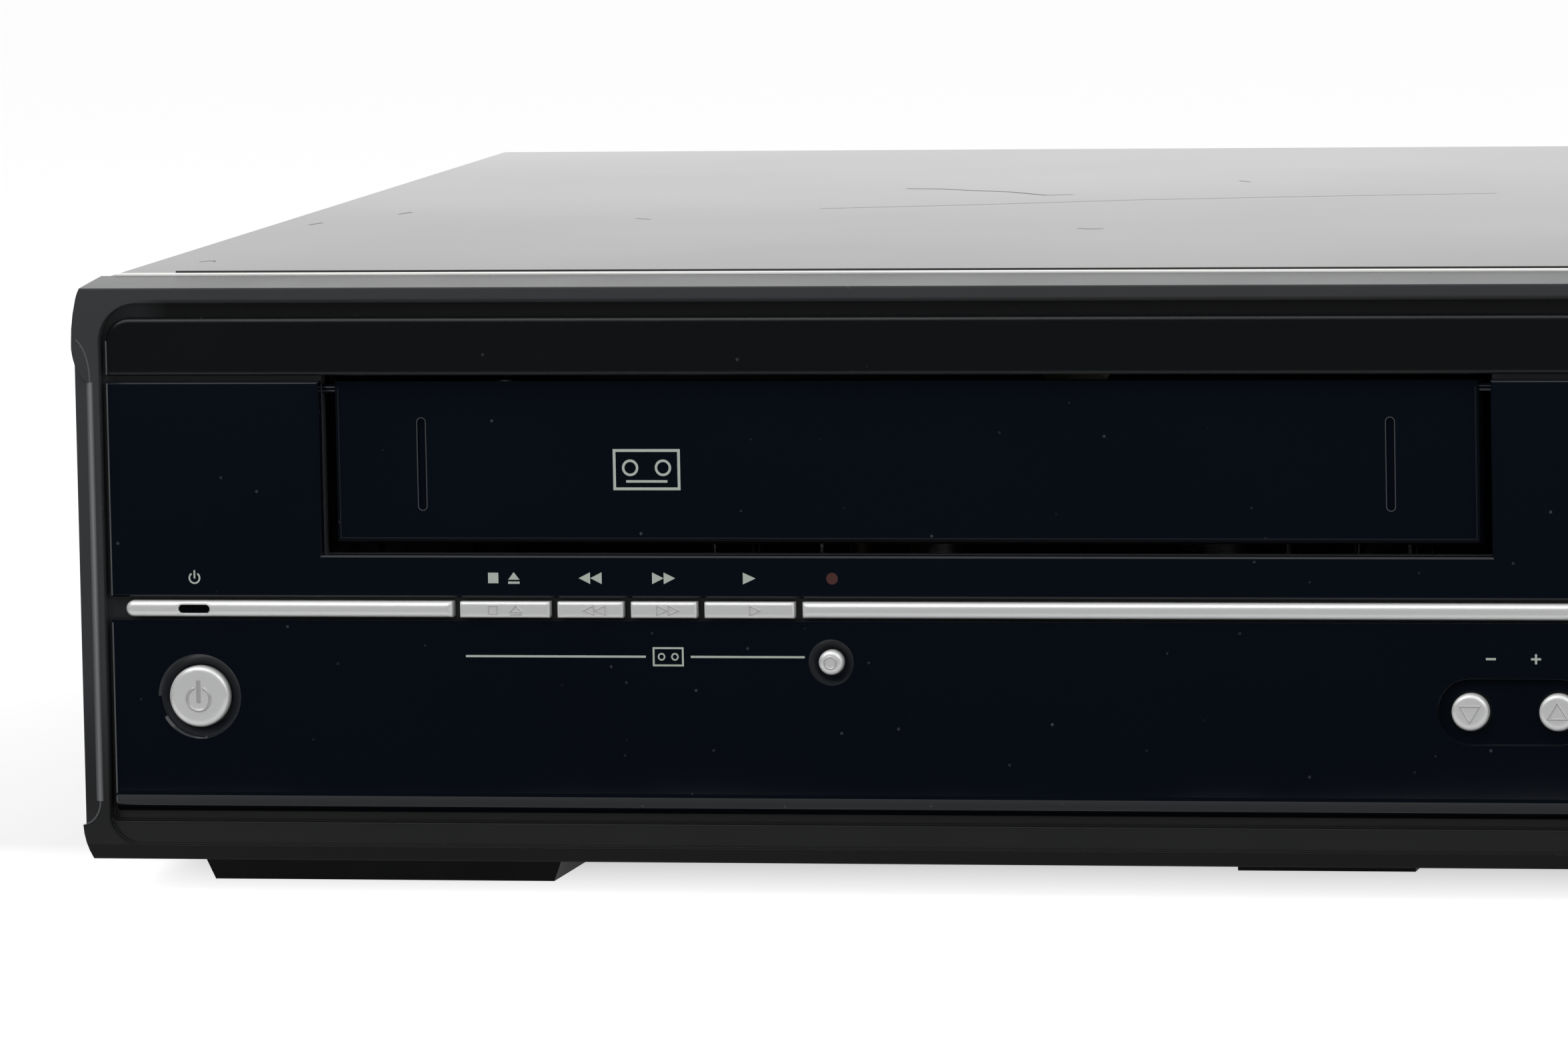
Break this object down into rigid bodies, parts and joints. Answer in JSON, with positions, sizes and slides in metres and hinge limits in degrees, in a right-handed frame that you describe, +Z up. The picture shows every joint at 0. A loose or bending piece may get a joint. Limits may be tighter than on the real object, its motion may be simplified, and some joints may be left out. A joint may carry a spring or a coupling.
{
  "type": "disc and videocassette player",
  "caption": "Free-standing disc and cassette recorder: glossy front with a loading flap, sliding disc tray and sprung keys, folded cover, tape deck and disc loader inside.",
  "frame": {"origin": "centre of the footprint, on the surface that the feet stand on", "axes": "+X to the right as seen from the front, +Y towards the rear sockets, +Z up"},
  "size_m": [0.435, 0.308, 0.1002],
  "materials": {
    "frame_plastic": "fine satin texture, black",
    "strip_plastic": "satin black",
    "panel_gloss": "piano black with a blue cast",
    "smoked_window": "smoked, clear gloss",
    "silver_paint": "satin silver",
    "cover_paint": "semi-gloss black paint",
    "case_plastic": "moulded black",
    "foot_plastic": "moulded black with a soft pad",
    "screw_steel": "black zinc",
    "rear_paint": "black paint",
    "socket_black": "moulded black",
    "jack_metal": "nickel plated",
    "yellow_plastic": "yellow",
    "white_plastic": "white",
    "red_plastic": "red",
    "laminate": "phenolic laminate",
    "laminate_green": "green solder mask",
    "ferrite": "ferrite and yellow tape",
    "deck_steel": "zinc plated sheet",
    "basket_steel": "plated spring sheet",
    "reel_plastic": "white acetal",
    "drum_aluminium": "diamond turned",
    "shaft_steel": "ground steel",
    "roller_rubber": "soft black",
    "guide_metal": "turned",
    "motor_can": "drawn can",
    "loader_plastic": "moulded black",
    "tray_plastic": "fine black",
    "gear_plastic": "natural acetal",
    "lens_unit": "die cast body with a lens"
  },
  "bodies": {
    "chassis": {"front_bezel": "frame_plastic", "upper_strip": "strip_plastic", "main_panel": "panel_gloss", "lower_panel": "panel_gloss", "trim_bars": "silver_paint", "standby_window": "smoked_window", "display_window": "smoked_window", "socket_blocks": "socket_black", "jack_sleeves": "jack_metal", "yellow_jack_collars": "yellow_plastic", "white_jack_collars": "white_plastic", "red_jack_collars": "red_plastic", "front_board": "laminate", "chassis_base": "case_plastic", "feet": "foot_plastic", "top_cover": "cover_paint", "cover_screws": "screw_steel", "rear_panel": "rear_paint", "mains_inlet": "socket_black", "power_board": "laminate", "transformer": "ferrite", "main_board": "laminate_green", "deck_plate": "deck_steel", "basket_rails": "deck_steel", "drum_base": "drum_aluminium", "tape_heads": "shaft_steel", "loading_motor": "motor_can", "loader_frame": "loader_plastic", "clamp_bridge": "deck_steel"},
    "flap": {"cassette_flap": "panel_gloss"},
    "tray": {"disc_tray": "tray_plastic", "tray_fascia": "panel_gloss"},
    "tray_pinion": {"tray_gear": "gear_plastic"},
    "power_key": {"power_button": "silver_paint"},
    "stop_eject_key": {"stop_eject_button": "silver_paint"},
    "rewind_key": {"rewind_button": "silver_paint"},
    "fast_forward_key": {"fast_forward_button": "silver_paint"},
    "play_key": {"play_button": "silver_paint"},
    "record_key": {"record_button": "silver_paint"},
    "programme_down_key": {"programme_down_button": "silver_paint"},
    "programme_up_key": {"programme_up_button": "silver_paint"},
    "disc_play_key": {"disc_play_button": "silver_paint"},
    "disc_stop_key": {"disc_stop_button": "silver_paint"},
    "disc_open_key": {"disc_open_button": "silver_paint"},
    "basket_carriage": {"basket_sliders": "deck_steel"},
    "basket": {"cassette_basket": "basket_steel"},
    "supply_table": {"supply_reel": "reel_plastic"},
    "takeup_table": {"takeup_reel": "reel_plastic"},
    "drum_rotor": {"head_drum": "drum_aluminium"},
    "capstan_rotor": {"capstan": "shaft_steel"},
    "pinch_lever": {"pinch_arm": "deck_steel"},
    "pinch_wheel": {"pinch_roller": "roller_rubber"},
    "left_guide_shoe": {"left_guide": "guide_metal"},
    "right_guide_shoe": {"right_guide": "guide_metal"},
    "pickup_unit": {"traverse": "loader_plastic", "spindle_motor": "motor_can", "pickup_rods": "shaft_steel"},
    "disc_hub": {"turntable": "tray_plastic"},
    "laser_sled": {"pickup": "lens_unit"},
    "clamp_puck": {"disc_clamp": "tray_plastic"}
  },
  "joints": [
    {"name": "flap_hinge", "type": "hinge", "parent": "chassis", "child": "flap", "pos_m": [-0.0813, -0.1495, 0.0824], "axis": [1, 0, 0], "range_deg": [0, 85], "stiffness_Nm_per_rad": 0.01, "springref_deg": -28.65},
    {"name": "tray_slide", "type": "slide", "parent": "chassis", "child": "tray", "axis": [0, -1, 0], "range_m": [0, 0.14137]},
    {"name": "tray_gear_spin", "type": "hinge", "parent": "chassis", "child": "tray_pinion", "pos_m": [0.064, -0.118, 0.068], "axis": [0, 0, 1], "range_deg": [0, 811]},
    {"name": "basket_in", "type": "slide", "parent": "chassis", "child": "basket_carriage", "axis": [0, 1, 0], "range_m": [0, 0.02]},
    {"name": "basket_sink", "type": "slide", "parent": "basket_carriage", "child": "basket", "axis": [0, 0, -1], "range_m": [0, 0.024]},
    {"name": "supply_spin", "type": "hinge", "parent": "chassis", "child": "supply_table", "pos_m": [-0.12732, -0.045, 0.03], "axis": [0, 0, 1], "continuous": true},
    {"name": "takeup_spin", "type": "hinge", "parent": "chassis", "child": "takeup_table", "pos_m": [-0.03533, -0.045, 0.03], "axis": [0, 0, 1], "continuous": true},
    {"name": "drum_spin", "type": "hinge", "parent": "chassis", "child": "drum_rotor", "pos_m": [-0.085, 0.038, 0.0232], "axis": [0, -0.1045, 0.9945], "continuous": true},
    {"name": "capstan_spin", "type": "hinge", "parent": "chassis", "child": "capstan_rotor", "pos_m": [-0.022, 0.022, 0.03], "axis": [0, 0, 1], "continuous": true},
    {"name": "pinch_swing", "type": "hinge", "parent": "chassis", "child": "pinch_lever", "pos_m": [0.004, 0.04, 0.038], "axis": [0, 0, 1], "range_deg": [-13.5, 0]},
    {"name": "pinch_spin", "type": "hinge", "parent": "pinch_lever", "child": "pinch_wheel", "pos_m": [-0.0104, 0.022, 0.045], "axis": [0, 0, 1], "continuous": true},
    {"name": "left_guide_slide", "type": "slide", "parent": "chassis", "child": "left_guide_shoe", "axis": [0, 1, 0], "range_m": [0, 0.024]},
    {"name": "right_guide_slide", "type": "slide", "parent": "chassis", "child": "right_guide_shoe", "axis": [0, 1, 0], "range_m": [0, 0.024]},
    {"name": "pickup_unit_tilt", "type": "hinge", "parent": "chassis", "child": "pickup_unit", "pos_m": [0.108, -0.004, 0.0585], "axis": [1, 0, 0], "range_deg": [0, 5]},
    {"name": "disc_spin", "type": "hinge", "parent": "pickup_unit", "child": "disc_hub", "pos_m": [0.108, -0.08, 0.07], "axis": [0, 0, 1], "continuous": true},
    {"name": "laser_slide", "type": "slide", "parent": "pickup_unit", "child": "laser_sled", "axis": [0, 1, 0], "range_m": [0, 0.034]},
    {"name": "clamp_spin", "type": "hinge", "parent": "chassis", "child": "clamp_puck", "pos_m": [0.108, -0.08, 0.082], "axis": [0, 0, 1], "continuous": true},
    {"name": "power_press", "type": "slide", "parent": "chassis", "child": "power_key", "axis": [0, 1, 0], "range_m": [0, 0.0006], "stiffness_N_per_m": 300, "springref_m": -0.0005},
    {"name": "stop_eject_press", "type": "slide", "parent": "chassis", "child": "stop_eject_key", "axis": [0, 1, 0], "range_m": [0, 0.0006], "stiffness_N_per_m": 300, "springref_m": -0.0005},
    {"name": "rewind_press", "type": "slide", "parent": "chassis", "child": "rewind_key", "axis": [0, 1, 0], "range_m": [0, 0.0006], "stiffness_N_per_m": 300, "springref_m": -0.0005},
    {"name": "fast_forward_press", "type": "slide", "parent": "chassis", "child": "fast_forward_key", "axis": [0, 1, 0], "range_m": [0, 0.0006], "stiffness_N_per_m": 300, "springref_m": -0.0005},
    {"name": "play_press", "type": "slide", "parent": "chassis", "child": "play_key", "axis": [0, 1, 0], "range_m": [0, 0.0006], "stiffness_N_per_m": 300, "springref_m": -0.0005},
    {"name": "record_press", "type": "slide", "parent": "chassis", "child": "record_key", "axis": [0, 1, 0], "range_m": [0, 0.0006], "stiffness_N_per_m": 300, "springref_m": -0.0005},
    {"name": "programme_down_press", "type": "slide", "parent": "chassis", "child": "programme_down_key", "axis": [0, 1, 0], "range_m": [0, 0.0006], "stiffness_N_per_m": 300, "springref_m": -0.0005},
    {"name": "programme_up_press", "type": "slide", "parent": "chassis", "child": "programme_up_key", "axis": [0, 1, 0], "range_m": [0, 0.0006], "stiffness_N_per_m": 300, "springref_m": -0.0005},
    {"name": "disc_play_press", "type": "slide", "parent": "chassis", "child": "disc_play_key", "axis": [0, 1, 0], "range_m": [0, 0.0006], "stiffness_N_per_m": 300, "springref_m": -0.0005},
    {"name": "disc_stop_press", "type": "slide", "parent": "chassis", "child": "disc_stop_key", "axis": [0, 1, 0], "range_m": [0, 0.0006], "stiffness_N_per_m": 300, "springref_m": -0.0005},
    {"name": "disc_open_press", "type": "slide", "parent": "chassis", "child": "disc_open_key", "axis": [0, 1, 0], "range_m": [0, 0.0006], "stiffness_N_per_m": 300, "springref_m": -0.0005}
  ],
  "couplings": [
    {"joint": "tray_gear_spin", "follows": "tray_slide", "rad_per_m": 100}
  ]
}
